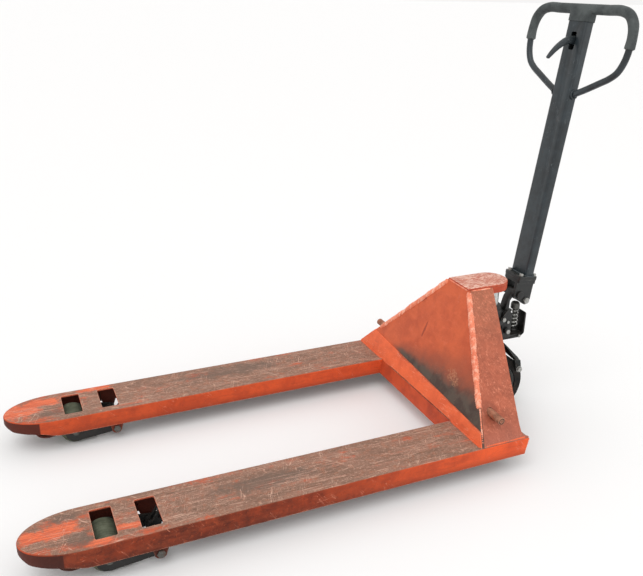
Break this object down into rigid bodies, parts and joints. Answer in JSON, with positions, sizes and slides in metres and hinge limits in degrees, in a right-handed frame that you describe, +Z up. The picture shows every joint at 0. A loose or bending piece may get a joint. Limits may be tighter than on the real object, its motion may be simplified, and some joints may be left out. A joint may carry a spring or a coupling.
{
  "type": "pallet jack",
  "caption": "Hand pallet truck with two channel forks, sloped lifting frame, hydraulic pump on steered twin wheels and a looped drawbar handle.",
  "frame": {"origin": "centre of the footprint on the floor, forks lowered", "axes": "+X from the fork tips towards the drawbar handle, +Y across the forks to the right side seen from the handle, +Z up"},
  "size_m": [1.5576, 0.685, 1.1448],
  "materials": {
    "frame_paint": "worn orange-red enamel, scratched, with brown wear on the fork tops",
    "ram_steel": "ground steel with an oil film",
    "shaft_steel": "rusty round bar",
    "linkage_iron": "greasy dark casting",
    "black_paint": "satin black enamel, scuffed",
    "bright_steel": "zinc plated, dulled",
    "hub_iron": "cast, greasy",
    "tyre_rubber": "matt, scuffed tread",
    "roller_tread": "worn polyurethane",
    "grip_mould": "grained, rubbed grey"
  },
  "bodies": {
    "swivel": {"swivel_ring": "linkage_iron", "thrust_pin": "bright_steel", "thrust_bearing": "bright_steel"},
    "pump": {"pump_body": "black_paint", "reservoir": "black_paint", "filler_plug": "bright_steel", "axle_column": "black_paint", "steer_axle": "bright_steel", "axle_washer_left": "bright_steel", "axle_washer_right": "bright_steel", "toe_guard_left": "linkage_iron", "toe_guard_right": "linkage_iron", "guard_bolt_left": "bright_steel", "guard_bolt_right": "bright_steel", "valve_stem": "bright_steel"},
    "steer_wheel_left": {"steer_hub_left": "hub_iron", "steer_tyre_left": "tyre_rubber"},
    "steer_wheel_right": {"steer_hub_right": "hub_iron", "steer_tyre_right": "tyre_rubber"},
    "plunger": {"plunger": "bright_steel", "plunger_spring": "bright_steel"},
    "valve": {"valve_lever": "bright_steel"},
    "handle": {"yoke": "black_paint", "handle_flange": "black_paint", "handle_tube": "black_paint", "flange_bolt_1": "bright_steel", "flange_bolt_2": "bright_steel", "flange_bolt_3": "bright_steel", "flange_bolt_4": "bright_steel", "pivot_shaft": "bright_steel", "press_roller": "bright_steel", "press_pin": "bright_steel", "handle_loop": "black_paint", "grip": "grip_mould", "lever_pin": "bright_steel"},
    "release_lever": {"release_lever": "black_paint"},
    "release_rod": {"release_rod": "bright_steel"},
    "frame": {"fork_left": "frame_paint", "fork_right": "frame_paint", "front_panel": "frame_paint", "kick_strip": "frame_paint", "cross_beam": "frame_paint", "side_panel_left": "frame_paint", "side_panel_right": "frame_paint", "top_cap": "frame_paint", "ram_seat": "ram_steel", "ram": "ram_steel", "pivot_pin_left": "bright_steel", "pivot_pin_right": "bright_steel"},
    "rocker": {"rocker_shaft": "shaft_steel"},
    "rod_left": {"push_rod_left": "linkage_iron"},
    "rod_right": {"push_rod_right": "linkage_iron"},
    "wheel_frame_left": {"wheel_frame_left": "black_paint", "roller_axle_left": "bright_steel"},
    "wheel_frame_right": {"wheel_frame_right": "black_paint", "roller_axle_right": "bright_steel"},
    "roller_left": {"load_roller_left": "roller_tread", "roller_core_left": "hub_iron"},
    "roller_right": {"load_roller_right": "roller_tread", "roller_core_right": "hub_iron"}
  },
  "joints": [
    {"name": "steer", "type": "hinge", "parent": "swivel", "child": "pump", "pos_m": [0.56024, 0, 0.202], "axis": [0, 0, 1], "range_deg": [-90, 90]},
    {"name": "lift", "type": "slide", "parent": "swivel", "child": "frame", "axis": [0, 0, 1], "range_m": [0, 0.095]},
    {"name": "handle_tilt", "type": "hinge", "parent": "pump", "child": "handle", "pos_m": [0.63724, 0, 0.347], "axis": [0, 1, 0], "range_deg": [0, 62], "stiffness_Nm_per_rad": 15, "springref_deg": -57.3},
    {"name": "plunger_slide", "type": "slide", "parent": "pump", "child": "plunger", "axis": [0, 0, -1], "range_m": [0, 0.0192], "deforming": ["plunger_spring"]},
    {"name": "release_lever_tilt", "type": "hinge", "parent": "handle", "child": "release_lever", "pos_m": [0.74975, 0, 1.04899], "axis": [0, 1, 0], "range_deg": [-12, 14], "stiffness_Nm_per_rad": 4, "springref_deg": 0.86},
    {"name": "release_rod_slide", "type": "slide", "parent": "handle", "child": "release_rod", "axis": [0.1336, 0, 0.991], "range_m": [-0.003, 0.0035]},
    {"name": "valve_lever_tilt", "type": "hinge", "parent": "pump", "child": "valve", "pos_m": [0.58324, -0.036, 0.281], "axis": [0, 1, 0], "range_deg": [-12.5, 14.5]},
    {"name": "steer_wheel_left_spin", "type": "hinge", "parent": "pump", "child": "steer_wheel_left", "pos_m": [0.55524, -0.05, 0.09], "axis": [0, 1, 0], "continuous": true},
    {"name": "steer_wheel_right_spin", "type": "hinge", "parent": "pump", "child": "steer_wheel_right", "pos_m": [0.55524, 0.05, 0.09], "axis": [0, 1, 0], "continuous": true},
    {"name": "rocker_turn", "type": "hinge", "parent": "frame", "child": "rocker", "pos_m": [0.37824, 0, 0.155], "axis": [0, 1, 0], "range_deg": [0, 41.8]},
    {"name": "rod_left_slide", "type": "slide", "parent": "frame", "child": "rod_left", "axis": [1, 0, 0], "range_m": [-0.0443, 0]},
    {"name": "wheel_frame_left_swing", "type": "hinge", "parent": "frame", "child": "wheel_frame_left", "pos_m": [-0.49676, -0.2675, 0.033], "axis": [0, 1, 0], "range_deg": [-60.6, 0]},
    {"name": "roller_left_spin", "type": "hinge", "parent": "wheel_frame_left", "child": "roller_left", "pos_m": [-0.60326, -0.2675, 0.038], "axis": [0, 1, 0], "continuous": true},
    {"name": "rod_right_slide", "type": "slide", "parent": "frame", "child": "rod_right", "axis": [1, 0, 0], "range_m": [-0.0443, 0]},
    {"name": "wheel_frame_right_swing", "type": "hinge", "parent": "frame", "child": "wheel_frame_right", "pos_m": [-0.49676, 0.2675, 0.033], "axis": [0, 1, 0], "range_deg": [-60.6, 0]},
    {"name": "roller_right_spin", "type": "hinge", "parent": "wheel_frame_right", "child": "roller_right", "pos_m": [-0.60326, 0.2675, 0.038], "axis": [0, 1, 0], "continuous": true}
  ],
  "couplings": [
    {"joint": "plunger_slide", "follows": "handle_tilt", "m_per_rad": 0.0175},
    {"joint": "release_rod_slide", "follows": "release_lever_tilt", "m_per_rad": 0.012},
    {"joint": "valve_lever_tilt", "follows": "release_lever_tilt", "ratio": 1},
    {"joint": "rocker_turn", "follows": "lift", "rad_per_m": 7.6452},
    {"joint": "rod_left_slide", "follows": "lift", "ratio": -0.46526},
    {"joint": "wheel_frame_left_swing", "follows": "lift", "rad_per_m": -11.09},
    {"joint": "rod_right_slide", "follows": "lift", "ratio": -0.46526},
    {"joint": "wheel_frame_right_swing", "follows": "lift", "rad_per_m": -11.09}
  ]
}
